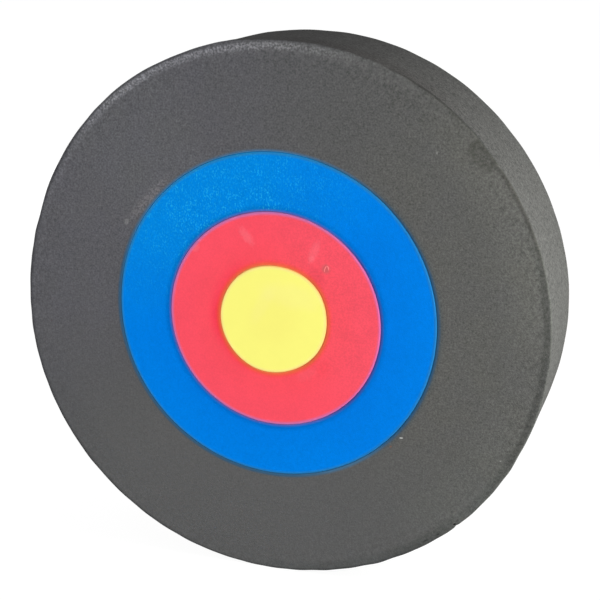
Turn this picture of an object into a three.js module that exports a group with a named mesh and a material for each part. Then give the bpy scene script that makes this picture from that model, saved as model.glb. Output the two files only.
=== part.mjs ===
// A round foam archery boss, built as it comes apart on a bench.
//
// Four planks of closed-cell foam are bonded face to face. The front plank is a wide grey ring,
// and the scoring zones are foam inlays of the plank's own depth, set one inside the other:
// a blue ring, a red ring and a yellow disc. Each inlay stands a little proud of the ring round it
// and has a soft shoulder where it was cut. Every round cut was led by hand, so it wanders a
// little from its circle, and the two pieces that meet at a cut wander together.
//
// Millimetres, +Z up, the face looks towards -Y. The origin is the centre of the flat back face,
// which is what a stand or a wall carries.

import * as THREE from 'three';
import { mergeVertices } from 'three/addons/utils/BufferGeometryUtils.js';

// Driving sizes, in millimetres: the yellow disc, the width of each ring round it, and the planks.
const yellowRadius = 61.2;
const redWidth = 59.4;
const blueWidth = 61.2;
const greyWidth = 118.2;
const plankThickness = 35;
const seamGap = 0.3;

// How far each inlay's face stands out from the grey face.
const blueProud = 0.8;
const redProud = 1.6;
const yellowProud = 2.4;

// Rounded edges: the rim's front and back corners, and the inlays' shoulders.
const frontEdgeRound = 1.5;
const backEdgeRound = 4;
const shoulderRound = 2.2;

// How finely round things are stepped.
const turnSteps = 120;
const edgeSteps = 5;
const shoulderSteps = 3;

// Points that lie closer together than this are one point.
const weldTolerance = 0.001;

// The wander of each cut from its circle, as rows of waves: how many lobes go round a turn, the
// lobe's height as a share of the cut's radius, and the direction of one lobe in degrees, from
// +X towards +Z. One lobe is a cut that is off centre, two make it oval.
const yellowWanderShares = [[1, 0.0024, 109], [2, 0.012, 36], [3, 0.005, 24], [4, 0.0035, 47], [5, 0.005, 42]];
const redWanderShares = [[1, 0.008, 279], [2, 0.003, 143]];
const blueWanderShares = [[1, 0.0089, 100], [2, 0.0012, 112], [4, 0.001, 18]];
const rimWanderShares = [[1, 0.0021, 28], [2, 0.0014, 62], [3, 0.003, 105], [4, 0.0022, 39], [5, 0.0013, 54],
  [6, 0.0015, 9]];

// The outer radius of each ring.
const redRadius = yellowRadius + redWidth;
const blueRadius = redRadius + blueWidth;
const bossRadius = blueRadius + greyWidth;

// The cuts, from the axis outwards.
const cuts = [
  { radius: 0, wanderShares: [] },
  { radius: yellowRadius, wanderShares: yellowWanderShares },
  { radius: redRadius, wanderShares: redWanderShares },
  { radius: blueRadius, wanderShares: blueWanderShares },
  { radius: bossRadius, wanderShares: rimWanderShares },
];
const innerCuts = cuts.slice(1, -1);

// The planks, from the back face at y = 0 to the front.
const backingPlankNames = ['back_plank', 'third_plank', 'second_plank'];
const frontPlankBack = -plankThickness * backingPlankNames.length;
const frontPlankFace = frontPlankBack - plankThickness;

// Foam colours.
const greyFoam = { color: 0x5c5c5c, roughness: 0.85, metalness: 0 };
const blueFoam = { color: 0x047de0, roughness: 0.6, metalness: 0 };
const redFoam = { color: 0xf95363, roughness: 0.65, metalness: 0 };
const yellowFoam = { color: 0xfcf67f, roughness: 0.6, metalness: 0 };

// How far a cut lies outside its circle in one direction.
function wanderAt(cut, turn) {
  let share = 0;
  for (const [lobes, lobeShare, degrees] of cut.wanderShares) {
    share += lobeShare * Math.cos(lobes * (turn - THREE.MathUtils.degToRad(degrees)));
  }
  return cut.radius * share;
}

// Moves every point of a turned shape outwards or inwards with the cuts on either side of it.
// One and the same shift serves all the pieces, so a seam keeps its width all the way round.
function followCuts(geometry) {
  const position = geometry.attributes.position;
  for (let i = 0; i < position.count; i += 1) {
    const x = position.getX(i);
    const z = position.getZ(i);
    const radius = Math.hypot(x, z);
    const turn = Math.atan2(z, x);
    const passed = innerCuts.filter((cut) => radius > cut.radius).length;
    const inside = cuts[passed];
    const outside = cuts[passed + 1];
    const way = (radius - inside.radius) / (outside.radius - inside.radius);
    const shift = THREE.MathUtils.lerp(wanderAt(inside, turn), wanderAt(outside, turn), way);
    position.setX(i, x + shift * Math.cos(turn));
    position.setZ(i, z + shift * Math.sin(turn));
  }
  return geometry;
}

// A quarter turn of a rounded outer corner, from the wall to a face. The centre is given, and
// side is -1 for a face that looks to -Y and 1 for one that looks to +Y.
function outerCorner(centreRadius, centreY, round, side, steps) {
  const points = [];
  for (let i = 0; i <= steps; i += 1) {
    const angle = (i / steps) * (Math.PI / 2);
    const radius = centreRadius + round * Math.cos(angle);
    const y = centreY + side * round * Math.sin(angle);
    points.push(new THREE.Vector2(radius, y));
  }
  return points;
}

// Turns a profile about the Y axis, drops the empty triangles at the axis and joins the points
// that coincide, so that the result is one closed skin.
function turned(profile) {
  const lathe = new THREE.LatheGeometry(profile, turnSteps);
  lathe.deleteAttribute('normal');
  lathe.deleteAttribute('uv');
  const merged = mergeVertices(followCuts(lathe), weldTolerance);
  const corners = merged.index.array;
  const kept = [];
  for (let i = 0; i < corners.length; i += 3) {
    const [a, b, c] = [corners[i], corners[i + 1], corners[i + 2]];
    if (a !== b && b !== c && c !== a) {
      kept.push(a, b, c);
    }
  }
  merged.setIndex(kept);
  merged.computeVertexNormals();
  return merged;
}

function piece(name, profile, foam) {
  const mesh = new THREE.Mesh(turned(profile), new THREE.MeshStandardMaterial(foam));
  mesh.name = name;
  return mesh;
}

// A disc of foam across the whole boss. The last one at the back has its corner rounded.
function backingPlank(name, backY, round) {
  const faceY = backY - plankThickness;
  const profile = [new THREE.Vector2(0, faceY), new THREE.Vector2(bossRadius, faceY)];
  if (round > 0) {
    profile.push(...outerCorner(bossRadius - round, backY - round, round, 1, edgeSteps));
  } else {
    profile.push(new THREE.Vector2(bossRadius, backY));
  }
  profile.push(new THREE.Vector2(0, backY));
  return piece(name, profile, greyFoam);
}

// The grey ring of the front plank: a rounded corner at the rim and a square edge at the bore.
function frontRing() {
  const bore = blueRadius + seamGap / 2;
  const corner = outerCorner(bossRadius - frontEdgeRound, frontPlankFace + frontEdgeRound, frontEdgeRound, -1,
    edgeSteps);
  const profile = [
    new THREE.Vector2(bore, frontPlankFace),
    ...corner.reverse(),
    new THREE.Vector2(bossRadius, frontPlankBack),
    new THREE.Vector2(bore, frontPlankBack),
    new THREE.Vector2(bore, frontPlankFace),
  ];
  return piece('grey_front_ring', profile, greyFoam);
}

// An inlay that fills the front plank's depth and stands proud of it, with a soft shoulder at its
// outer edge. A ring has a bore for the next inlay, and the middle one has none.
function inlay(name, outerCut, innerCut, proud, foam) {
  const outside = outerCut - seamGap / 2;
  const face = frontPlankFace - proud;
  const shoulder = outerCorner(outside - shoulderRound, face + shoulderRound, shoulderRound, -1, shoulderSteps);
  const bore = innerCut > 0 ? innerCut + seamGap / 2 : 0;
  const profile = [
    new THREE.Vector2(bore, face),
    ...shoulder.reverse(),
    new THREE.Vector2(outside, frontPlankBack),
    new THREE.Vector2(bore, frontPlankBack),
  ];
  if (bore > 0) {
    profile.push(new THREE.Vector2(bore, face));
  }
  return piece(name, profile, foam);
}

const boss = new THREE.Group();
boss.name = 'archery_boss';

boss.add(
  frontRing(),
  inlay('blue_ring', blueRadius, redRadius, blueProud, blueFoam),
  inlay('red_ring', redRadius, yellowRadius, redProud, redFoam),
  inlay('yellow_centre', yellowRadius, 0, yellowProud, yellowFoam),
);

backingPlankNames.forEach((name, i) => {
  const round = i === 0 ? backEdgeRound : 0;
  boss.add(backingPlank(name, -plankThickness * i, round));
});

export default boss;
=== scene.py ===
"""A round archery boss of layered foam, made fine enough to look at closely.

Each block of foam is a turned skin: a profile of rows is carried round the boss's axis, and every row
follows the hand-led cuts, which are read from the frame as a few waves round the turn. All lengths are
metres. The face looks towards -Y, +Z is up, and a turn is an angle from +X towards +Z.
"""
import math

import bpy
import numpy as np
from mathutils import Matrix, Vector


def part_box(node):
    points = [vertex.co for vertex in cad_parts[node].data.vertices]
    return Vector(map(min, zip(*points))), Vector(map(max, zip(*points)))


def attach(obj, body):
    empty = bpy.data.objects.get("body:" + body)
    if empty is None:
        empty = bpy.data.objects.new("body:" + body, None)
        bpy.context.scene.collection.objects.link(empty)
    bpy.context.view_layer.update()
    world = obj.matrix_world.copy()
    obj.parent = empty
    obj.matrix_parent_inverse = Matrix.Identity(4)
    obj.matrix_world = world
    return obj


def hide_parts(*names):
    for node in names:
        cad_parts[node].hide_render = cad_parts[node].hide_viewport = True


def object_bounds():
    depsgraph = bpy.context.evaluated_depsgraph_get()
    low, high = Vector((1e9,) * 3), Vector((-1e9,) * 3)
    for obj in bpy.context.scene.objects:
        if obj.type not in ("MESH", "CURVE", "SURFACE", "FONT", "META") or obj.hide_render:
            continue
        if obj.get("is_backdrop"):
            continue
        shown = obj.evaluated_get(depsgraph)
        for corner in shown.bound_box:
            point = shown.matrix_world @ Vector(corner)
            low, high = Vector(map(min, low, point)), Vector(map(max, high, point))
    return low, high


MM = 0.001

# The camera, as fitted to the ring edges of the photograph.
IMAGE_PIXELS = 600
LENS_MM = 81.84
SENSOR_MM = 36.0
CAMERA_AZIMUTH = math.radians(18.09)
CAMERA_ELEVATION = math.radians(15.80)
CAMERA_DISTANCE = 1485.0 * MM
AIM_RIGHT = 28.71 * MM
AIM_UP = 20.79 * MM

# How the cuts are read from the frame: corners round a turn, and waves that are kept.
CUT_CORNERS = 120
CUT_WAVES = 7

# How finely the skins are stepped: fine where a face meets a cut or the rim, coarse where nothing shows.
COLUMNS = {"grey_front_ring": 1200, "blue_ring": 900, "red_ring": 720, "yellow_centre": 540, "plank": 1200}
FACE_STEP = 4.0 * MM
BORDER_STEP = 1.2 * MM
BORDER = 12.0 * MM
WALL_STEP = 3.0 * MM
BACK_STEP = 6.0 * MM
HIDDEN_WALL_STEP = 5.0 * MM
INLAY_BORE_STEP = 8.0 * MM
RING_BORE_STEP = 12.0 * MM
HIDDEN_FACE_STEP = 100.0 * MM
CORNER_STEPS = 6
BORE_CORNER_STEPS = 3
SHARP_ANGLE = math.radians(50)

# The rows of a plank's flat front, as shares of its radius: the one next to the axis, where the rows of its
# back end too, and one half way.
AXIS_ROW_SHARE = 0.05
HALF_WAY_SHARE = 0.5

# The rounded edges of each block.
FRONT_EDGE_ROUND = 1.5 * MM
BACK_EDGE_ROUND = 4.0 * MM
SHOULDER_ROUND = 1.6 * MM
BORE_ROUND = 0.5 * MM

# The grey face rolls off a little towards the rim, where the foam has been squeezed and rubbed.
ROLL_OFF = 1.3 * MM
ROLL_WIDTH = 55.0 * MM

# Slow unevenness of each face: how far it stands in or out, the shortest and longest wave, how many waves
# there are, and the depth below the face at which it has died out.
FACE_RELIEF = 0.06 * MM
FACE_WAVES = (18 * MM, 80 * MM)
FACE_WAVE_COUNT = 24
INLAY_FADE = 4.0 * MM
RING_FADE = 8.0 * MM
FACE_SEEDS = {"grey_front_ring": 3, "blue_ring": 5, "red_ring": 6, "yellow_centre": 7}

# Slow unevenness of the wall, in lobes round a turn. It drifts sideways through the depth, and a second set
# of lobes comes and goes with that drift.
WALL_RELIEF = 0.15 * MM
WALL_LOBES = (9, 60)
WALL_SEED = 11
DRIFT_SHARE = 0.6
DRIFT_LENGTH = 90 * MM
DRIFT_TURN = 0.02
DRIFT_LOBES = (5, 25)
DRIFT_LOBE_SHARE = 0.4
DRIFT_SEED = 12
WALL_WAVE_COUNT = 12

# The crest, where the wall meets the face, is rougher. The front ring's face joins in near the rim, from this
# share of its width on.
CREST_RELIEF = 0.20 * MM
CREST_LOBES = (14, 70)
CREST_SEED = 13
CREST_WAVE_COUNT = 24
CREST_DEPTH = 5.0 * MM
NEAR_RIM_SHARE = 0.9

# Places where the crest is nicked (below 0) or lifted: the pixel of the photograph that shows each one, how
# far it stands out, how wide it is, and how deep down the wall it reaches.
RIM_MARKS = [
    ((454.6, 525.0), -1.1 * MM, 1.8 * MM, 6 * MM),
    ((218.0, 44.0), 1.5 * MM, 34 * MM, 40 * MM),
    ((48.4, 179.4), 0.8 * MM, 24 * MM, 15 * MM),
]

# The lip that an arrow tore in the red foam: its pixel, the half width and half height of its arch, the half
# thickness of the lip, the angles at which it starts and ends, how far it leans, how quickly it thins out at
# its ends, and how flat it lies.
ARROW_PIXEL = (326.4, 270.2)
ARROW_SIZE = (2.1 * MM, 4.0 * MM)
ARROW_LIP = 0.75 * MM
ARROW_ENDS = (-5, 215)
ARROW_LEAN = 0.16
ARROW_THINNING = 0.4
ARROW_FLATNESS = 0.55
ARROW_ROWS = 40
ARROW_SIDES = 12


def rgb(red, green, blue):
    """An opaque colour. Its parts are linear, so the screen shows them brighter."""
    return (red, green, blue, 1.0)


# Marks on the foam by their pixels. A list's rows hold the pixel, the length and width in millimetres, the
# tilt in degrees from +X towards +Z, and last the strength or the tint or both.
PALE_FLECK = rgb(0.62, 0.62, 0.60)
BLACK_SPOT = rgb(0.010, 0.010, 0.010)
RUST = rgb(0.26, 0.11, 0.07)
GREY_SPOTS = [
    ((126.7, 221.5), 7.0, 5.0, 60, PALE_FLECK, 0.10),
    ((401.2, 438.0), 3.9, 1.15, 5, PALE_FLECK, 1.0),
    ((437.0, 153.0), 3.2, 0.8, 90, PALE_FLECK, 0.35),
    ((500.4, 461.6), 2.0, 1.2, 0, PALE_FLECK, 0.22),
    # The next black spot fills the nick in the crest: painted shade inside it.
    ((454.2, 524.6), 3.0, 2.0, 30, BLACK_SPOT, 1.0),
    ((437.8, 534.8), 4.0, 1.8, 28, BLACK_SPOT, 0.45),
    ((425.5, 541.0), 6.0, 1.8, 26, BLACK_SPOT, 0.35),
    ((390.6, 446.6), 3.0, 1.7, 40, RUST, 0.6),
]
RED_SCUFFS = [
    ((247.0, 236.0), 22, 9, -51, 0.15),
    ((196.5, 247.5), 9, 7, 45, 0.12),
    ((314.5, 251.5), 25, 9, 69, 0.11),
    ((312.0, 259.0), 7, 5, 75, 0.12),
    ((307.0, 374.0), 22, 11, 30, 0.05),
]
RED_DARKER_PLACES = [
    ((316.0, 277.0), 25, 16, -62, rgb(0.91, 0.86, 0.90)),
    ((323.5, 368.0), 19, 12, 60, rgb(1.0, 0.93, 0.93)),
]
DIMPLE_SHADE_PIXEL = (326.2, 268.8)
SMUDGE_PIXEL = (482.5, 156.0)
STREAK_PIXEL = (456.0, 114.0)
GREY_SCUFF_PIXEL = (148.0, 199.0)
YELLOW_MIDDLE_PIXEL = (292.0, 296.0)
YELLOW_SIDE_PIXEL = (263.0, 304.0)

# The side of the zones next to the lamps: its direction, and the degrees within which it is full and shows.
RIGHT_SIDE = (355, 35, 70)

# The depths below the grey face at which the face starts to give way to the wall, and has done so.
FACE_DEPTH = 2.5 * MM
WALL_DEPTH = 4.0 * MM

# The foams: their colours, among them copies that carry painted sheen and painted light, their
# roughness, and their shine, which they lack.
GREY = rgb(0.1025, 0.1025, 0.1025)
BLUE = rgb(0.0005, 0.201, 0.745)
UPPER_SHEEN_BLUE = rgb(0.001, 0.209, 0.715)
SHEEN_BLUE = rgb(0.001, 0.226, 0.715)
RED = rgb(0.945, 0.081, 0.115)
LIT_RED = rgb(0.905, 0.087, 0.120)
TORN_RED = rgb(0.86, 0.20, 0.21)
YELLOW = rgb(0.95, 0.905, 0.205)
GREY_ROUGHNESS = 0.85
TORN_ROUGHNESS = 0.8
ZONE_ROUGHNESS = 0.7
SHINE = 0.0

# The texture of every foam: opened cells and soft ripples in relief, and specks, clusters and clouds of tone.
CELL_SIZE = 1.1 * MM
RIPPLE_SIZE = 6.0 * MM
SPECK_SIZE = 2.0 * MM
CLUSTER_SIZE = 5.0 * MM
CLOUD_SIZE = 25.0 * MM

# The soft light all round, and the floor: its glow where it is seen, how strongly it shows a shadow there,
# the grey with which it throws light back, and its half width.
AMBIENT_LIGHT = 0.52
FLOOR_GLOW = 0.955
FLOOR_SHADE = 0.10
FLOOR_GREY = 0.80
FLOOR_HALF_WIDTH = 30.0

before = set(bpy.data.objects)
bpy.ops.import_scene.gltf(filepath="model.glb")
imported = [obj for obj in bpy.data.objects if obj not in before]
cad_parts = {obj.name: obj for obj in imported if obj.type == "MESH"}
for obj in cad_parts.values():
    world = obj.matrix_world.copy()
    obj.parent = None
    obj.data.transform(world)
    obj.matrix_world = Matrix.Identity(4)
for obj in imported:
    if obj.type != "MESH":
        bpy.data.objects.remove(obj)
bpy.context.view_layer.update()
FACE_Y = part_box("grey_front_ring")[0].y
FRONT_PLANK_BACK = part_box("grey_front_ring")[1].y

# The lamps: a tall narrow window and a small lamp at the right, which skim the face, a wide strip at the
# front, and a large soft lamp behind, which reaches only the back and the left of the rim. Each has its
# place, the point that it looks at, its width and height, its power and its colour.
COOL_LIGHT = (0.97, 0.98, 1.0)
WARM_LIGHT = (0.98, 1.0, 0.93)
LAMPS = {
    "side_window": ((1.18, -0.27, 0.03), (0, -0.10, 0), 0.13, 1.10, 10.0, WARM_LIGHT),
    "side_lamp": ((0.80, -0.24, 0.20), (0, -0.10, 0), 0.10, 0.30, 2.7, WARM_LIGHT),
    "front_strip": ((-1.2, -2.8, -0.09), (0, FACE_Y, -0.09), 1.2, 0.3, 35.0, COOL_LIGHT),
    "back_lamp": ((-1.0, 2.4, -0.05), (0, 0, -0.05), 0.8, 0.5, 34.0, COOL_LIGHT),
}


def camera_axes():
    """Right, up and forward of a camera that looks along its azimuth and down by its elevation."""
    a, e = CAMERA_AZIMUTH, CAMERA_ELEVATION
    right = Vector((math.cos(a), math.sin(a), 0))
    forward = Vector((-math.sin(a) * math.cos(e), math.cos(a) * math.cos(e), -math.sin(e)))
    return right, right.cross(forward), forward


def place_camera():
    """The camera stands back from its aim, a point a little right of and above the middle of the face."""
    right, up, forward = camera_axes()
    aim = Vector((0, FACE_Y, 0)) + AIM_RIGHT * right + AIM_UP * up
    data = bpy.data.cameras.new("camera")
    data.lens = LENS_MM
    data.sensor_width = SENSOR_MM
    camera = bpy.data.objects.new("camera", data)
    turned = Matrix((right, up, -forward)).transposed().to_4x4()
    camera.matrix_world = Matrix.Translation(aim - CAMERA_DISTANCE * forward) @ turned
    bpy.context.scene.collection.objects.link(camera)
    bpy.context.scene.camera = camera
    return camera


camera = place_camera()


def on_face(pixel, y):
    """The point (x, z) of the plane at depth y that a pixel of the photograph shows."""
    right, up, forward = camera_axes()
    focal_pixels = IMAGE_PIXELS * LENS_MM / SENSOR_MM
    across = (pixel[0] - IMAGE_PIXELS / 2) / focal_pixels
    down = (pixel[1] - IMAGE_PIXELS / 2) / focal_pixels
    ray = forward + across * right - down * up
    eye = camera.matrix_world.translation
    hit = eye + ray * (y - eye.y) / ray.y
    return hit.x, hit.z


class Cut:
    """The radius of a node's outermost or innermost wall as a short Fourier series of the turn."""

    def __init__(self, node, outermost):
        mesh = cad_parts[node].data
        points = np.empty(len(mesh.vertices) * 3)
        mesh.vertices.foreach_get("co", points)
        x, _, z = points.reshape(-1, 3).T
        radius = np.hypot(x, z)
        corner = np.rint(np.arctan2(z, x) * CUT_CORNERS / math.tau).astype(int) % CUT_CORNERS
        table = np.full(CUT_CORNERS, 0.0 if outermost else np.inf)
        (np.maximum if outermost else np.minimum).at(table, corner, radius)
        self.waves = np.fft.rfft(table)[:CUT_WAVES] / CUT_CORNERS
        self.waves[1:] *= 2

    def __call__(self, turn):
        lobes = np.arange(CUT_WAVES)
        return np.real(np.exp(1j * np.multiply.outer(turn, lobes)) @ self.waves)


def no_cut(turn):
    """The inner cut of a piece that has no bore."""
    return np.zeros_like(turn)


def uneven(x, z, seed):
    """A smooth random height of about +-1: the sum of waves that run in all directions over the plane."""
    random = np.random.default_rng(seed)
    heading = random.uniform(0, math.tau, FACE_WAVE_COUNT)
    length = np.exp(random.uniform(math.log(FACE_WAVES[0]), math.log(FACE_WAVES[1]), FACE_WAVE_COUNT))
    phase = random.uniform(0, math.tau, FACE_WAVE_COUNT)
    height = np.zeros(np.broadcast(x, z).shape)
    for direction, wavelength, start in zip(heading, length, phase):
        along = x * math.cos(direction) + z * math.sin(direction)
        height += np.sin(math.tau * along / wavelength + start)
    return height / math.sqrt(FACE_WAVE_COUNT)


def uneven_turn(turn, seed, lobes, count):
    """A smooth random height of about +-1 round the turn: the sum of count waves, which have between the
    lowest and the highest number of lobes."""
    random = np.random.default_rng(seed)
    number = random.integers(lobes[0], lobes[1], count)
    phase = random.uniform(0, math.tau, count)
    return np.sin(np.multiply.outer(turn, number) + phase).sum(-1) / math.sqrt(count)


def steps(start, stop, size):
    """Values from start to stop, both included, about size apart."""
    count = max(1, math.ceil(abs(stop - start) / size))
    return np.linspace(start, stop, count + 1)


def crowded(start, stop):
    """Values from start to stop: face steps between, and finer ones near both ends."""
    near, far = start + BORDER, stop - BORDER
    fine_start = steps(start, near, BORDER_STEP)[:-1]
    middle = steps(near, far, FACE_STEP)[:-1]
    return np.concatenate([fine_start, middle, steps(far, stop, BORDER_STEP)])


def quarter(count):
    """The angles of a quarter turn, without its two ends."""
    return np.linspace(0, math.pi / 2, count + 2)[1:-1]


def rows(offset, y, share):
    """Rows of a profile: share of the way from the inner to the outer cut, offset from there, and y."""
    offset, y, share = np.broadcast_arrays(offset, y, share)
    return np.stack([share.astype(float), offset.astype(float), y.astype(float)], 1)


def block_profile(width, face, back, corner, wall_step, bore_step=None):
    """Rows of a block of the front plank, from the inside outwards over its face, round its outer corner and
    down its wall. With a bore they start at its rounded edge and end going up it. Without one they start a
    step away from the axis."""
    start = BORE_ROUND if bore_step else FACE_STEP
    across = crowded(start, width - corner)
    way = (across - start) / (across[-1] - start)
    a = quarter(CORNER_STEPS)
    parts = [
        rows(start * (1 - way) - corner * way, face, way),
        rows(-corner * (1 - np.sin(a)), face + corner * (1 - np.cos(a)), 1),
        rows(0, steps(face + corner, back, wall_step), 1),
    ]
    if bore_step:
        a = quarter(BORE_CORNER_STEPS)[::-1]
        edge = rows(BORE_ROUND * (1 - np.sin(a)), face + BORE_ROUND * (1 - np.cos(a)), 0)
        bore = rows(0, steps(back, face + BORE_ROUND, bore_step), 0)
        parts = [edge, *parts, bore]
    return np.concatenate(parts)


def turn_steps(columns):
    """The directions of a turn's columns."""
    return np.arange(columns) * math.tau / columns


def place_rows(profile, turn, inner, outer):
    """Radius and depth of every point of a profile carried round the turn between two cuts."""
    share, offset, y = profile.T[:, :, None]
    radius = inner(turn) * (1 - share) + outer(turn) * share + offset
    return radius, np.broadcast_to(y, radius.shape).copy()


def grid_faces(row_count, columns, closed):
    """Quads between neighbouring rows; the last column meets the first, and so do the rows if closed."""
    first = np.arange(row_count if closed else row_count - 1)
    row, column = np.meshgrid(first, np.arange(columns), indexing="ij")
    here = row * columns
    beyond = (row + 1) % row_count * columns
    beside = (column + 1) % columns
    corners = [here + column, beyond + column, beyond + beside, here + beside]
    return np.stack(corners, -1).reshape(-1, 4)


def fans(row_count, columns):
    """Triangles from the first row to a front pole and from the last row to a back pole."""
    here = np.arange(columns)
    beside = (here + 1) % columns
    last = (row_count - 1) * columns
    front_pole = row_count * columns
    front = np.stack([np.full(columns, front_pole), here, beside], 1)
    back = np.stack([np.full(columns, front_pole + 1), last + beside, last + here], 1)
    return np.concatenate([front, back])


def skin(name, grid, poles=None):
    """A mesh object from a grid of points, rows by columns by 3, closed round the turn. With two poles the
    first and last rows end there; without them the rows close on themselves, as a ring's do."""
    row_count, columns = grid.shape[:2]
    points = grid.reshape(-1, 3)
    faces = grid_faces(row_count, columns, poles is None).tolist()
    if poles is not None:
        points = np.concatenate([points, poles])
        faces += fans(row_count, columns).tolist()
    mesh = bpy.data.meshes.new(name)
    mesh.from_pydata(points.tolist(), [], faces)
    mesh.update()
    mesh.shade_smooth()
    mesh.set_sharp_from_angle(angle=SHARP_ANGLE)
    piece = bpy.data.objects.new(name, mesh)
    bpy.context.scene.collection.objects.link(piece)
    return piece


def give_distance(piece, name, grid, poles=None):
    """Stores one number per vertex, such as a distance along the face, for the material to read."""
    values = grid.ravel()
    if poles is not None:
        values = np.concatenate([values, poles])
    attribute = piece.data.attributes.new(name, "FLOAT", "POINT")
    attribute.data.foreach_set("value", values.astype(np.float32))


def finish_piece(piece, node, material):
    """Gives a foam skin its material, hangs it from the root body and hides the node that it stands for."""
    piece.data.materials.append(material)
    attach(piece, "root")
    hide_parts(node)
    return piece


def wall_relief(turn, y):
    """How far the rim stands in or out, the same for every block that shares it: waves round the turn, which
    drift a little through the depth, and rougher ones that die out below the crest."""
    drift = DRIFT_SHARE * np.sin(math.tau * y / DRIFT_LENGTH)
    wall = uneven_turn(turn + DRIFT_TURN * drift, WALL_SEED, WALL_LOBES, WALL_WAVE_COUNT)
    come_and_go = uneven_turn(turn, DRIFT_SEED, DRIFT_LOBES, WALL_WAVE_COUNT)
    crest = uneven_turn(turn, CREST_SEED, CREST_LOBES, CREST_WAVE_COUNT)
    near_crest = np.exp(-np.abs(y - FACE_Y) / CREST_DEPTH)
    return WALL_RELIEF * (wall + DRIFT_LOBE_SHARE * drift * come_and_go) + CREST_RELIEF * near_crest * crest


def rim_marks(turn, y):
    """How far the crest is lifted or nicked: a bell round each mark, exp(-(distance / width) squared), which
    fades with the depth."""
    height = 0 * y
    for pixel, lift, width, reach in RIM_MARKS:
        x, z = on_face(pixel, FACE_Y)
        aside = (turn - math.atan2(z, x) + math.pi) % math.tau - math.pi
        bell = (aside * math.hypot(x, z) / width) ** 2
        height = height + lift * np.exp(-bell - (y - FACE_Y) / reach)
    return height


def inlay(node, material, bored):
    """One scoring zone: face, soft shoulder, wall and hidden back. A ring has a bore with a small round."""
    low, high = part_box(node)
    face, back = low.y, high.y
    outer = Cut(node, True)
    inner = Cut(node, False) if bored else no_cut
    turn = turn_steps(COLUMNS[node])
    width = outer(turn).mean() - inner(turn).mean()
    bore_step = INLAY_BORE_STEP if bored else None
    profile = block_profile(width, face, back, SHOULDER_ROUND, HIDDEN_WALL_STEP, bore_step)
    radius, y = place_rows(profile, turn, inner, outer)
    x, z = radius * np.cos(turn), radius * np.sin(turn)
    fade = np.clip(1 - (y - face) / INLAY_FADE, 0, 1)
    y += FACE_RELIEF * fade * uneven(x, z, FACE_SEEDS[node])
    poles = None if bored else np.array([[0, y[0].mean(), 0], [0, back, 0]])
    piece = skin(node + "_skin", np.stack([x, y, z], -1), poles)
    to_rim_at_poles = None if bored else np.full(2, outer(turn).mean())
    give_distance(piece, "to_rim", outer(turn) - radius, to_rim_at_poles)
    give_distance(piece, "to_bore", radius - inner(turn), None if bored else np.zeros(2))
    return finish_piece(piece, node, material)


def front_ring(material):
    """The grey ring of the front plank: bore, face, crest at the rim and the front part of the wall."""
    node = "grey_front_ring"
    outer, inner = Cut(node, True), Cut(node, False)
    turn = turn_steps(COLUMNS[node])
    width = outer(turn).mean() - inner(turn).mean()
    profile = block_profile(width, FACE_Y, FRONT_PLANK_BACK, FRONT_EDGE_ROUND, WALL_STEP, RING_BORE_STEP)
    radius, y = place_rows(profile, turn, inner, outer)
    share = profile[:, 0][:, None]
    near_rim = np.clip((share - NEAR_RIM_SHARE) / (1 - NEAR_RIM_SHARE), 0, 1)
    radius = radius + near_rim * (wall_relief(turn, y) + rim_marks(turn, y))
    x, z = radius * np.cos(turn), radius * np.sin(turn)
    to_rim = outer(turn) - radius
    rolled = ROLL_OFF * np.clip(1 - to_rim / ROLL_WIDTH, 0, 1) ** 2
    fade = np.clip(1 - (y - FACE_Y) / RING_FADE, 0, 1)
    y += fade * (FACE_RELIEF * uneven(x, z, FACE_SEEDS[node]) + rolled)
    piece = skin(node + "_skin", np.stack([x, y, z], -1))
    give_distance(piece, "to_rim", to_rim)
    give_distance(piece, "to_bore", radius - inner(turn))
    return finish_piece(piece, node, material)


def backing_plank(node, material):
    """A grey plank behind the inlays. Only its wall and, on the last one, its back show."""
    low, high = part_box(node)
    outer = Cut(node, True)
    turn = turn_steps(COLUMNS["plank"])
    last = high.y > -BACK_EDGE_ROUND
    edge = BACK_EDGE_ROUND if last else 0
    mean_radius = outer(turn).mean()
    parts = [
        rows(0, low.y, [AXIS_ROW_SHARE, HALF_WAY_SHARE]),
        rows(0, steps(low.y, high.y - edge, WALL_STEP), 1),
    ]
    if last:
        a = quarter(CORNER_STEPS)
        parts.append(rows(-edge * (1 - np.cos(a)), high.y - edge * (1 - np.sin(a)), 1))
        inward = steps(1, AXIS_ROW_SHARE, BACK_STEP / mean_radius)
    else:
        inward = steps(1, AXIS_ROW_SHARE, HIDDEN_FACE_STEP / mean_radius)[1:]
    parts.append(rows(-edge * inward, high.y, inward))
    profile = np.concatenate(parts)
    radius, y = place_rows(profile, turn, no_cut, outer)
    share = profile[:, 0][:, None]
    radius = radius + share * wall_relief(turn, y)
    x, z = radius * np.cos(turn), radius * np.sin(turn)
    poles = np.array([[0, low.y, 0], [0, high.y, 0]])
    piece = skin(node + "_skin", np.stack([x, y, z], -1), poles)
    give_distance(piece, "to_rim", outer(turn) - radius, np.full(2, mean_radius))
    return finish_piece(piece, node, material)


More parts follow.
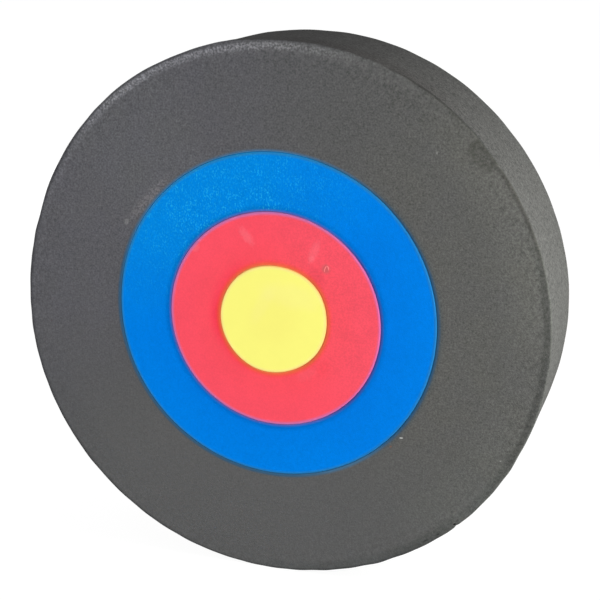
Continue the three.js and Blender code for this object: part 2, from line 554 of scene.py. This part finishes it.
def arrow_mark(material):
    """The torn lip that an arrow left: a leaning arch of an oval, open at the bottom. A flattened round
    section goes along it and thins to nothing at both ends: centre + arch + taper * (cos outwards + flatness
    * sin forwards)."""
    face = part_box("red_ring")[0].y
    x, z = on_face(ARROW_PIXEL, face)
    start, stop = ARROW_ENDS
    along = np.linspace(start, stop, ARROW_ROWS + 2)[1:-1, None]
    arch, section = np.radians(along), turn_steps(ARROW_SIDES)[None, :]
    taper = ARROW_LIP * np.sin(math.pi * (along - start) / (stop - start)) ** ARROW_THINNING
    out = taper * np.cos(section)
    up = (ARROW_SIZE[1] + out) * np.sin(arch)
    aside = (ARROW_SIZE[0] + out) * np.cos(arch) + ARROW_LEAN * up
    forward = face - ARROW_FLATNESS * taper * np.sin(section) + 0 * up
    ends = np.radians(ARROW_ENDS)
    up_ends = ARROW_SIZE[1] * np.sin(ends)
    aside_ends = ARROW_SIZE[0] * np.cos(ends) + ARROW_LEAN * up_ends
    poles = np.stack([x + aside_ends, [face, face], z + up_ends], 1)
    piece = skin("arrow_mark", np.stack([x + aside, forward, z + up], -1), poles)
    piece.data.materials.append(material)
    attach(piece, "root")
    return piece


class Value:
    """A number on its way through a material. Arithmetic on it adds Math nodes."""

    def __init__(self, paint, socket):
        self.paint = paint
        self.socket = socket

    def __add__(self, other):
        return self.paint.maths("ADD", self, other)

    def __sub__(self, other):
        return self.paint.maths("SUBTRACT", self, other)

    def __rsub__(self, other):
        return self.paint.maths("SUBTRACT", other, self)

    def __mul__(self, other):
        return self.paint.maths("MULTIPLY", self, other)

    __radd__ = __add__
    __rmul__ = __mul__


class Paint:
    """A material with a plain surface shader, and the nodes that vary it."""

    def __init__(self, name, roughness):
        self.material = bpy.data.materials.new(name)
        self.material.use_nodes = True
        self.tree = self.material.node_tree
        self.surface = self.tree.nodes["Principled BSDF"]
        self.surface.inputs["Roughness"].default_value = roughness
        self.surface.inputs["Specular IOR Level"].default_value = SHINE
        self.place = self.node("ShaderNodeTexCoord", {}, {}, "Object")

    def node(self, kind, settings, sockets, output):
        """Adds a node, sets it up, feeds its sockets and gives one of its outputs."""
        made = self.tree.nodes.new(kind)
        for setting, value in settings.items():
            setattr(made, setting, value)
        for key, value in sockets.items():
            socket = made.inputs[key] if isinstance(key, int) else self.find(made.inputs, key)
            self.feed(socket, value)
        return Value(self, self.find(made.outputs, output))

    def find(self, sockets, name):
        """A socket by its identifier, or by its name where that is the plainer one."""
        return next(s for s in sockets if name in (s.identifier, s.name))

    def feed(self, socket, value):
        """Links a value to a socket, or sets the socket to a plain number, colour or vector."""
        if isinstance(value, Value):
            self.tree.links.new(value.socket, socket)
        else:
            socket.default_value = value

    def maths(self, operation, a, b):
        """Arithmetic on two numbers."""
        return self.node("ShaderNodeMath", {"operation": operation}, {0: a, 1: b}, "Value")

    def vector(self, operation, a, b=(0, 0, 0), output="Vector"):
        """Arithmetic on two vectors, or on one where the operation needs no second."""
        return self.node("ShaderNodeVectorMath", {"operation": operation}, {0: a, 1: b}, output)

    def number(self, attribute):
        """A number that the mesh stores for each vertex."""
        return self.node("ShaderNodeAttribute", {"attribute_name": attribute}, {}, "Fac")

    def along(self, axis):
        """The place along one axis, X, Y or Z."""
        return self.node("ShaderNodeSeparateXYZ", {}, {"Vector": self.place}, axis)

    def ramp(self, value, start, stop):
        """A smooth step from 0 at start to 1 at stop."""
        sockets = {"Value": value, "From Min": start, "From Max": stop}
        return self.node("ShaderNodeMapRange", {"interpolation_type": "SMOOTHSTEP"}, sockets, "Result")

    def band(self, distance, near, far, soft):
        """1 where a distance lies between near and far, with smooth ends as wide as soft."""
        return self.ramp(distance, near - soft, near) * self.ramp(distance, far + soft, far)

    def toward(self, degrees, near, far):
        """1 within near degrees of a direction from the boss's axis, falling smoothly to 0 at far degrees."""
        flat = self.vector("MULTIPLY", self.place, (1, 0, 1))
        heading = (math.cos(math.radians(degrees)), 0, math.sin(math.radians(degrees)))
        along = self.vector("DOT_PRODUCT", self.vector("NORMALIZE", flat), heading, "Value")
        return self.ramp(along, math.cos(math.radians(far)), math.cos(math.radians(near)))

    def patch(self, pixel, long, short, tilt, ragged=0.6, soft=0.6):
        """1 in an oval mark on the face with a ragged edge, tilted from +X towards +Z. Its centre is given by
        the pixel of the photograph that shows it, and its length and width in metres."""
        x, z = on_face(pixel, FACE_Y)
        sockets = {
            "Vector": self.place,
            "Location": (x, 0, z),
            "Rotation": (0, -math.radians(tilt), 0),
            "Scale": (long / 2, 10, short / 2),
        }
        local = self.node("ShaderNodeMapping", {"vector_type": "TEXTURE"}, sockets, "Vector")
        away = self.vector("LENGTH", local, output="Value")
        frayed = away + (self.noise(short / 3, 2.0) - 0.5) * ragged
        return self.ramp(frayed, 1 + soft / 2, 1 - soft / 2)

    def noise(self, size, detail, stretch=(1, 1, 1)):
        """Cloudy noise from 0 to 1 with lumps about as large as size."""
        place = self.place if stretch == (1, 1, 1) else self.vector("MULTIPLY", self.place, stretch)
        sockets = {"Vector": place, "Scale": 1 / size, "Detail": detail}
        return self.node("ShaderNodeTexNoise", {}, sockets, "Fac")

    def cells(self, size):
        """Distance from the centre of closed foam cells, as a share of their size."""
        sockets = {"Vector": self.place, "Scale": 1 / size}
        return self.node("ShaderNodeTexVoronoi", {}, sockets, "Distance")

    def mix(self, factor, a, b, blend="MIX"):
        """Colour a where factor is 0 and b where it is 1."""
        settings = {"data_type": "RGBA", "blend_type": blend}
        sockets = {"Factor_Float": factor, "A_Color": a, "B_Color": b}
        return self.node("ShaderNodeMix", settings, sockets, "Result_Color")

    def stain(self, colour, factor, tint):
        """The colour multiplied by a tint where factor is 1."""
        return self.mix(factor, colour, tint, "MULTIPLY")

    def grey(self, value):
        """The same number in red, green and blue."""
        return self.node("ShaderNodeCombineColor", {}, {"Red": value, "Green": value, "Blue": value}, "Color")

    def brighten(self, colour, factor):
        """The colour times a varying number."""
        return self.mix(1.0, colour, self.grey(factor), "MULTIPLY")

    def bump(self, height, depth, before=None):
        """A relief as deep as depth in metres, on top of the one before."""
        sockets = {"Height": height, "Distance": depth, "Strength": 1.0}
        if before is not None:
            sockets["Normal"] = before
        return self.node("ShaderNodeBump", {}, sockets, "Normal")

    def finish(self, colour, normal):
        """Gives the surface its colour and its relief, and hands over the material."""
        self.feed(self.surface.inputs["Base Color"], colour)
        self.feed(self.surface.inputs["Normal"], normal)
        return self.material


def foam_grain(paint, fine, middle, broad):
    """How much lighter or darker each spot of foam is than the whole: specks, clusters and clouds."""
    specks = paint.noise(SPECK_SIZE, 1.0) - 0.5
    clusters = paint.noise(CLUSTER_SIZE, 2.0) - 0.5
    clouds = paint.noise(CLOUD_SIZE, 3.0) - 0.5
    return 1 + specks * fine + clusters * middle + clouds * broad


def foam_skin(paint, cell_depth, ripple_depth):
    """The fine relief of sliced foam: opened cells about a millimetre wide and soft ripples."""
    ripples = paint.bump(paint.noise(RIPPLE_SIZE, 3.0), ripple_depth)
    return paint.bump(paint.cells(CELL_SIZE), cell_depth, ripples)


def painted_seam_light(paint, distance):
    """1 close to the blue zone's edge at the upper left, where light falling into the seam is painted."""
    return paint.toward(122, 36, 52) * paint.ramp(distance, 1.4 * MM, 0.1 * MM)


def toned_face(paint, colour, face, to_rim):
    """Slow changes of tone over the grey face, with painted warm light at the right and painted cool light at
    the upper left."""
    # Painted warm light of the side lamps at the right.
    painted_warm_light = paint.toward(5, 20, 80) * face
    colour = paint.stain(colour, painted_warm_light * paint.noise(40 * MM, 2.0), rgb(1.04, 1.035, 0.95))
    # Painted cool light and sheen of the front lamp at the upper left.
    painted_cool_light = paint.toward(145, 20, 75) * face
    colour = paint.stain(colour, painted_cool_light * (0.4 + 0.8 * paint.noise(30 * MM, 2.0)), rgb(1.06, 1.05, 1.16))
    lower = paint.toward(248, 22, 50) * face
    colour = paint.stain(colour, lower, rgb(1.05, 1.05, 1.05))
    darker = (paint.toward(85, 16, 34) + paint.toward(186, 18, 40)) * face
    colour = paint.stain(colour, darker, rgb(0.97, 0.97, 0.975))
    outer_left = paint.toward(210, 9, 20) * paint.ramp(to_rim, 40 * MM, 28 * MM) * face
    colour = paint.stain(colour, outer_left, rgb(0.975, 0.98, 0.985))
    lower_right = paint.toward(321, 8, 22) * paint.ramp(to_rim, 62 * MM, 42 * MM)
    lighter = (paint.toward(130, 6, 20) + lower_right) * face
    colour = paint.stain(colour, lighter, rgb(1.03, 1.04, 1.03))
    # Painted light: lighter towards the rim at the right, next to the side lamps.
    pale = paint.toward(26, 14, 34) * paint.ramp(to_rim, 65 * MM, 12 * MM) * face
    return paint.stain(colour, pale, rgb(1.125, 1.125, 1.10))


def shaded_wall(paint, colour, wall, depth):
    """The wall at the upper right is dimmer, with a thin, wavering dark line right behind the fold."""
    colour = paint.stain(colour, wall, rgb(0.99, 0.98, 0.975))
    dim = paint.toward(71, 8, 26) * paint.ramp(depth, 60 * MM, 5 * MM) * wall
    colour = paint.stain(colour, dim, rgb(0.90, 0.88, 0.88))
    wavering = depth + (paint.noise(9 * MM, 1.0) - 0.5) * 4 * MM
    line = paint.toward(52, 6, 15) * paint.ramp(wavering, 11 * MM, 7 * MM)
    line = line * paint.ramp(depth, 1.2 * MM, 2.4 * MM)
    return paint.stain(colour, line, rgb(0.65, 0.65, 0.65))


def folded_rim(paint, colour, face, to_rim):
    """The fold at the rim: darker at the lower right, darker still near the bottom, and a dark band just
    inside it at the right."""
    fold = to_rim + 1.5 * MM * paint.toward(357, 16, 36)
    darker_lower_right = paint.toward(325, 45, 65) * paint.ramp(fold, 14 * MM, 6.5 * MM)
    colour = paint.stain(colour, darker_lower_right * face, rgb(0.89, 0.91, 0.91))
    bottom = paint.toward(305, 5, 12) + 0.6 * paint.toward(284, 2, 8)
    darker_bottom = bottom * paint.ramp(to_rim, 14 * MM, 9 * MM)
    colour = paint.stain(colour, darker_bottom * face, rgb(0.90, 0.90, 0.89))
    darkest_bottom = paint.toward(303, 4, 9) * paint.ramp(to_rim, 7.5 * MM, 4.5 * MM)
    colour = paint.stain(colour, darkest_bottom * face, rgb(0.90, 0.90, 0.90))
    band_reach = to_rim + 4.2 * MM * paint.toward(29, 9, 19)
    darker_right_band = paint.toward(4, 24, 44) * paint.ramp(band_reach, 9.5 * MM, 7 * MM)
    darker_right_band = darker_right_band * paint.ramp(to_rim + 3 * MM * paint.toward(33, 10, 24), 0.5 * MM, 3 * MM)
    return paint.stain(colour, darker_right_band * face, rgb(0.81, 0.80, 0.80))


def edge_bands(paint, colour, face, to_rim):
    """Bands of the grey face near the rim: darker at the left, most of all next to the rim, paler at the top,
    lighter near the top at the right and darker at the upper right, with pale specks along the upper crest."""
    dark = paint.toward(205, 78, 118) * paint.ramp(to_rim, 3.8 * MM, 1.6 * MM)
    colour = paint.stain(colour, dark * face, rgb(0.70, 0.71, 0.71))
    darker_left_band = paint.toward(192, 40, 68) * paint.ramp(to_rim, 6.0 * MM, 3.0 * MM)
    colour = paint.stain(colour, darker_left_band * face, rgb(0.84, 0.84, 0.84))
    lifted = paint.toward(77, 18, 34) * paint.band(to_rim, 11 * MM, 13 * MM, 4 * MM)
    colour = paint.stain(colour, lifted * face, rgb(1.05, 1.05, 1.05))
    brighter_high_right = paint.toward(67, 6, 15) * paint.ramp(to_rim, 14 * MM, 8 * MM)
    colour = paint.stain(colour, brighter_high_right * face, rgb(1.07, 1.07, 1.07))
    darker_upper_right = paint.toward(52, 6, 14) * paint.ramp(to_rim, 45 * MM, 12 * MM)
    colour = paint.stain(colour, darker_upper_right * face, rgb(0.94, 0.94, 0.93))
    upper = paint.toward(106, 3, 38) + 0.25 * paint.toward(143, 8, 24)
    speckled_band = upper * paint.ramp(to_rim, 12.5 * MM, 6.5 * MM) * paint.ramp(to_rim, 1 * MM, 4 * MM)
    specks = paint.ramp(paint.noise(2.2 * MM, 1.0), 0.34, 0.70)
    return paint.brighten(colour, 1 + speckled_band * face * (0.08 + 1.28 * specks))


def marked_face(paint, colour, face):
    """The marks that the photograph shows on the grey: a smudge, a streak, flecks and spots, and a scuff."""
    smudge = paint.patch(SMUDGE_PIXEL, 38 * MM, 21 * MM, -50, 0.25, 0.4)
    colour = paint.stain(colour, smudge * face, rgb(0.77, 0.77, 0.75))
    streak = paint.patch(STREAK_PIXEL, 40 * MM, 6 * MM, -40)
    colour = paint.stain(colour, streak * face * 0.6, rgb(0.84, 0.83, 0.82))
    for pixel, long, short, tilt, tint, strength in GREY_SPOTS:
        spot = paint.patch(pixel, long * MM, short * MM, tilt, 0.2)
        colour = paint.mix(spot * face * strength, colour, tint)
    broken = paint.ramp(paint.noise(4 * MM, 2.0), 0.32, 0.62)
    scuffed = paint.patch(GREY_SCUFF_PIXEL, 64 * MM, 11 * MM, 46, 1.2, 1.0) * broken
    return paint.stain(colour, scuffed * face, rgb(1.42, 1.36, 1.33))


def seam_dye_and_shade(paint, colour, face, to_bore):
    """The grey foam next to the blue zone: stained blue and darkened at the seam, partly dye and partly
    painted shade, deepest at the right, with painted shadow at the right and the lower left, and painted
    light in the seam at the upper left."""
    right = paint.toward(3, 35, 64)
    shadow = right * paint.ramp(to_bore, 9 * MM, 1 * MM)
    colour = paint.stain(colour, shadow * face, rgb(0.78, 0.90, 0.98))
    # Blue dye and painted shade at the seam, darkest at the right.
    dyed_and_shaded = paint.ramp(to_bore + 0.9 * MM * paint.toward(85, 40, 75), 5.0 * MM, 0.6 * MM)
    dye_and_shade = paint.mix(right, rgb(0.050, 0.158, 0.285), rgb(0.018, 0.085, 0.175))
    colour = paint.mix(dyed_and_shaded * face * 0.9, colour, dye_and_shade)
    shaded = paint.toward(220, 55, 75) * paint.ramp(to_bore, 5 * MM, 2 * MM)
    shaded = shaded * paint.ramp(to_bore, 0, 1.2 * MM)
    colour = paint.stain(colour, shaded * face, rgb(0.66, 0.76, 0.79))
    return paint.stain(colour, painted_seam_light(paint, to_bore) * face, rgb(1.0, 1.5, 1.65))


def grey_foam():
    """Charcoal closed-cell foam, whose grain is painted stronger where the lamps rake it, on the wall at the
    right, and weaker at the bottom.
    """
    paint = Paint("grey_foam", GREY_ROUGHNESS)
    to_rim, to_bore = paint.number("to_rim"), paint.number("to_bore")
    depth = paint.along("Y") - FACE_Y
    face = paint.ramp(depth, WALL_DEPTH, FACE_DEPTH)
    # Painted light: the grain is drawn stronger where the lamps rake the wall at the right, weaker at the
    # bottom.
    grain_in_raking_light = 1 - 0.53 * paint.toward(250, 15, 90) + 0.5 * paint.toward(15, 40, 75) * (1 - face)
    grain = 1 + (foam_grain(paint, 1.1, 0.50, 0.10) - 1) * grain_in_raking_light
    colour = paint.brighten(GREY, grain)
    colour = toned_face(paint, colour, face, to_rim)
    colour = shaded_wall(paint, colour, 1 - face, depth)
    colour = folded_rim(paint, colour, face, to_rim)
    colour = edge_bands(paint, colour, face, to_rim)
    # Painted shade on the crest at the right and down the first millimetres of the wall.
    crest = paint.toward(29, 5, 9) * paint.ramp(to_rim, 5.5 * MM, 2 * MM)
    crest = crest * paint.ramp(depth, 7 * MM, 2.5 * MM)
    colour = paint.stain(colour, crest, rgb(0.84, 0.83, 0.83))
    colour = marked_face(paint, colour, face)
    colour = seam_dye_and_shade(paint, colour, face, to_bore)
    return paint.finish(colour, foam_skin(paint, 0.30 * MM, 0.05 * MM))


def blue_foam():
    """Blue foam with painted sheen on its upper part and pale specks there, partly scuffs and partly painted
    glints. Its edges are darker, partly the blended colour of the seams and partly painted shade.
    """
    paint = Paint("blue_foam", ZONE_ROUGHNESS)
    to_rim, to_bore = paint.number("to_rim"), paint.number("to_bore")
    grain = foam_grain(paint, 0.20, 0.10, 0.05)
    colour = paint.brighten(BLUE, grain)
    # Painted sheen of the front lamp over the upper part.
    upper = paint.toward(120, 38, 74)
    colour = paint.mix(upper, colour, paint.brighten(UPPER_SHEEN_BLUE, grain))
    # Painted sheen, strongest at the upper left.
    painted_sheen = paint.toward(122, 20, 46)
    colour = paint.mix(painted_sheen, colour, paint.brighten(SHEEN_BLUE, grain))
    inner = paint.ramp(to_bore, 42 * MM, 12 * MM)
    colour = paint.stain(colour, inner, rgb(1.0, 0.965, 0.98))
    lit = paint.toward(352, 44, 60)
    colour = paint.stain(colour, lit, rgb(1.8, 0.95, 0.97))
    # Pale specks on the upper part: partly scuffs and partly painted glints of the front lamp.
    specks = paint.ramp(paint.noise(1.9 * MM, 2.0, (1, 1, 0.7)), 0.47, 0.76)
    clumps = 0.6 + 0.8 * paint.ramp(paint.noise(15 * MM, 1.0), 0.40, 0.60)
    scuffed = 0.30 * paint.toward(114, 15, 78) + 0.20 * paint.toward(115, 10, 40)
    colour = paint.mix(specks * clumps * scuffed, colour, rgb(0.022, 0.50, 0.84))
    right = paint.toward(*RIGHT_SIDE)
    # The outer shoulder band: partly the blended colour of the seam and partly painted shade there.
    shoulder = paint.ramp(to_rim, 4.6 * MM, 0.2 * MM)
    slate = paint.mix(right, rgb(0.030, 0.190, 0.340), rgb(0.022, 0.165, 0.350))
    colour = paint.mix(shoulder * 0.75, colour, slate)
    colour = paint.stain(colour, painted_seam_light(paint, to_rim), rgb(1.0, 1.5, 1.6))
    shaded = paint.ramp(to_bore, 9.0 * MM, 1.5 * MM)
    colour = paint.stain(colour, shaded, rgb(0.9, 0.75, 0.77))
    # The inner band by the red zone: partly the blended colour of the seam and partly painted shade, deepest
    # at the right.
    bore = paint.ramp(to_bore + 0.9 * MM * (1 - right), 4.3 * MM, 0.2 * MM)
    navy = paint.mix(right, rgb(0.112, 0.112, 0.420), rgb(0.056, 0.058, 0.258))
    colour = paint.mix(bore * 0.85, colour, navy)
    # Painted light in the seam, away from the right.
    lip = paint.ramp(to_bore, 0.9 * MM, 0.1 * MM) * (1 - right)
    colour = paint.mix(lip * 0.6, colour, rgb(0.18, 0.21, 0.62))
    return paint.finish(colour, foam_skin(paint, 0.15 * MM, 0.08 * MM))


def red_foam():
    """Red foam, lilac at its outer shoulder and deeper and browner next to the yellow disc. It has painted
    shadow to the left of the yellow disc, painted shade in a dimple and at its seams, and painted light in
    the seams.
    """
    paint = Paint("red_foam", ZONE_ROUGHNESS)
    to_rim, to_bore = paint.number("to_rim"), paint.number("to_bore")
    lit = paint.toward(20, 30, 85)
    grain = 1 + (foam_grain(paint, 0.13, 0.06, 0.10) - 1) * (1 + 1.1 * lit)
    colour = paint.brighten(paint.mix(lit, RED, LIT_RED), grain)
    outer = paint.ramp(to_rim, 46 * MM, 16 * MM)
    colour = paint.stain(colour, outer, rgb(1.0, 1.02, 1.065))
    for pixel, long, short, tilt, strength in RED_SCUFFS:
        scuff = paint.patch(pixel, long * MM, short * MM, tilt, 1.2, 1.0)
        colour = paint.mix(scuff * strength, colour, rgb(0.95, 0.35, 0.40))
    for pixel, long, short, tilt, tint in RED_DARKER_PLACES:
        darker_place = paint.patch(pixel, long * MM, short * MM, tilt, 1.2, 1.0)
        colour = paint.stain(colour, darker_place, tint)
    # Painted shade of a small dimple inside the arrow's torn lip.
    dimple_shade = paint.patch(DIMPLE_SHADE_PIXEL, 9.5 * MM, 8.5 * MM, 90, 0.4, 1.2)
    colour = paint.mix(dimple_shade * 0.75, colour, rgb(0.60, 0.125, 0.130))
    right = paint.toward(*RIGHT_SIDE)
    shoulder = paint.ramp(to_rim + 0.9 * MM * paint.toward(15, 50, 80), 5.2 * MM, 0.0)
    lilac = paint.mix(right, rgb(0.38, 0.20, 0.52), rgb(0.43, 0.16, 0.48))
    colour = paint.mix(shoulder * 0.8, colour, lilac)
    # Painted shadow of the proud yellow disc, cast to its left by the side lamps and further round to the
    # lower left.
    shadow = paint.toward(160, 20, 55) * paint.ramp(to_bore, 18 * MM, 6 * MM)
    colour = paint.stain(colour, shadow, rgb(1.0, 0.80, 0.90))
    lower_left_shadow = paint.toward(205, 20, 50) * paint.ramp(to_bore, 14 * MM, 6 * MM)
    colour = paint.stain(colour, lower_left_shadow, rgb(1.0, 0.86, 0.93))
    deeper = paint.ramp(to_bore, 8.0 * MM, 1.0 * MM)
    colour = paint.stain(colour, deeper * 0.85, rgb(1.0, 0.93, 0.46))
    # The band by the yellow disc: partly the blended colour of the seam and partly painted shade, deepest at
    # the right.
    bore = paint.ramp(to_bore, 4.8 * MM, 0.5 * MM)
    brown = paint.mix(right, rgb(0.78, 0.150, 0.055), rgb(0.62, 0.150, 0.045))
    colour = paint.mix(bore * 0.7, colour, brown)
    # Painted light in the seam, away from the right.
    lip = paint.ramp(to_bore, 1.0 * MM, 0.1 * MM) * (1 - right)
    colour = paint.mix(lip * 0.7, colour, rgb(1.0, 0.30, 0.11))
    return paint.finish(colour, foam_skin(paint, 0.10 * MM, 0.05 * MM))


def torn_foam():
    """Red foam that was torn up, so that it catches the light and looks paler."""
    paint = Paint("torn_foam", TORN_ROUGHNESS)
    colour = paint.brighten(TORN_RED, foam_grain(paint, 0.5, 0.3, 0.1))
    return paint.finish(colour, foam_skin(paint, 0.10 * MM, 0.05 * MM))


def yellow_foam():
    """Yellow foam, a little deeper and paler in patches in the middle, with a cream, then orange, edge."""
    paint = Paint("yellow_foam", ZONE_ROUGHNESS)
    to_rim = paint.number("to_rim")
    colour = paint.brighten(YELLOW, foam_grain(paint, 0.008, 0.01, 0.02))
    middle = paint.ramp(to_rim, 22 * MM, 46 * MM)
    colour = paint.stain(colour, middle, rgb(0.985, 0.972, 0.97))
    pale = paint.patch(YELLOW_MIDDLE_PIXEL, 62 * MM, 26 * MM, -8, 0.6, 1.0)
    colour = paint.stain(colour, pale, rgb(0.995, 0.985, 1.13))
    side = paint.patch(YELLOW_SIDE_PIXEL, 44 * MM, 15 * MM, 62, 0.6, 1.0)
    colour = paint.stain(colour, side, rgb(1.0, 0.995, 1.10))
    cream = paint.ramp(to_rim, 5.0 * MM, 1.5 * MM)
    colour = paint.mix(cream * 0.7, colour, rgb(0.95, 0.82, 0.28))
    # The orange edge: partly the blended colour of the seam and partly painted shade, deepest at the right.
    edge = paint.ramp(to_rim, 2.5 * MM, 0.0)
    orange = paint.mix(paint.toward(*RIGHT_SIDE), rgb(1.0, 0.40, 0.14), rgb(0.82, 0.34, 0.12))
    colour = paint.mix(edge * 0.62, colour, orange)
    return paint.finish(colour, foam_skin(paint, 0.03 * MM, 0.03 * MM))


def area_lamp(name, place, aim, width, height, power, colour):
    """A soft lamp that looks from its place at a point."""
    data = bpy.data.lights.new(name, "AREA")
    data.shape = "RECTANGLE"
    data.size, data.size_y = width, height
    data.energy = power
    data.color = colour
    lamp = bpy.data.objects.new(name, data)
    lamp.location = place
    lamp.rotation_euler = (Vector(aim) - Vector(place)).to_track_quat("-Z", "Y").to_euler()
    bpy.context.scene.collection.objects.link(lamp)


def seen_directly(tree):
    """1 where a ray comes from the camera, a mirror-like surface or through a clear one, so that it sees the
    white background."""
    path = tree.nodes.new("ShaderNodeLightPath")
    total = path.outputs["Is Camera Ray"]
    for name in ("Is Glossy Ray", "Is Transmission Ray"):
        either = tree.nodes.new("ShaderNodeMath")
        either.operation = "MAXIMUM"
        tree.links.new(total, either.inputs[0])
        tree.links.new(path.outputs[name], either.inputs[1])
        total = either.outputs[0]
    return total


def show_background(tree, lit, white, end):
    """Gives the end node one shader for the light that falls on things, and a white one for what is seen."""
    both = tree.nodes.new("ShaderNodeMixShader")
    tree.links.new(seen_directly(tree), both.inputs["Fac"])
    tree.links.new(lit.outputs[0], both.inputs[1])
    tree.links.new(white.outputs[0], both.inputs[2])
    tree.links.new(both.outputs[0], tree.nodes[end].inputs["Surface"])


def white_world():
    """White to look at, and an even soft light of its own strength on everything."""
    world = bpy.data.worlds.new("studio")
    world.use_nodes = True
    tree = world.node_tree
    light = tree.nodes["Background"]
    light.inputs["Color"].default_value = rgb(1, 1, 1)
    light.inputs["Strength"].default_value = AMBIENT_LIGHT
    white = tree.nodes.new("ShaderNodeBackground")
    white.inputs["Color"].default_value = rgb(1, 1, 1)
    show_background(tree, light, white, "World Output")
    bpy.context.scene.world = world


def diffuse(tree, value):
    """A matt grey shader."""
    shader = tree.nodes.new("ShaderNodeBsdfDiffuse")
    shader.inputs["Color"].default_value = rgb(value, value, value)
    return shader


def pale_floor():
    """A pale floor under the rim. It looks white to the camera and keeps the boss's shadow."""
    low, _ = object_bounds()
    far = FLOOR_HALF_WIDTH
    corners = [(-far, -far, low.z), (far, -far, low.z), (far, far, low.z), (-far, far, low.z)]
    mesh = bpy.data.meshes.new("floor")
    mesh.from_pydata(corners, [], [(0, 1, 2, 3)])
    floor = bpy.data.objects.new("floor", mesh)
    bpy.context.scene.collection.objects.link(floor)
    material = bpy.data.materials.new("pale_floor")
    material.use_nodes = True
    tree = material.node_tree
    tree.nodes.remove(tree.nodes["Principled BSDF"])
    glow = tree.nodes.new("ShaderNodeEmission")
    glow.inputs["Strength"].default_value = FLOOR_GLOW
    white = tree.nodes.new("ShaderNodeAddShader")
    tree.links.new(diffuse(tree, FLOOR_SHADE).outputs[0], white.inputs[0])
    tree.links.new(glow.outputs[0], white.inputs[1])
    show_background(tree, diffuse(tree, FLOOR_GREY), white, "Material Output")
    mesh.materials.append(material)
    floor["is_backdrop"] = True


grey = grey_foam()
front_ring(grey)
inlay("blue_ring", blue_foam(), True)
inlay("red_ring", red_foam(), True)
inlay("yellow_centre", yellow_foam(), False)
arrow_mark(torn_foam())
for plank in ("second_plank", "third_plank", "back_plank"):
    backing_plank(plank, grey)

for lamp_name, lamp_settings in LAMPS.items():
    area_lamp(lamp_name, *lamp_settings)
white_world()
pale_floor()
bpy.context.scene.view_settings.view_transform = "Standard"
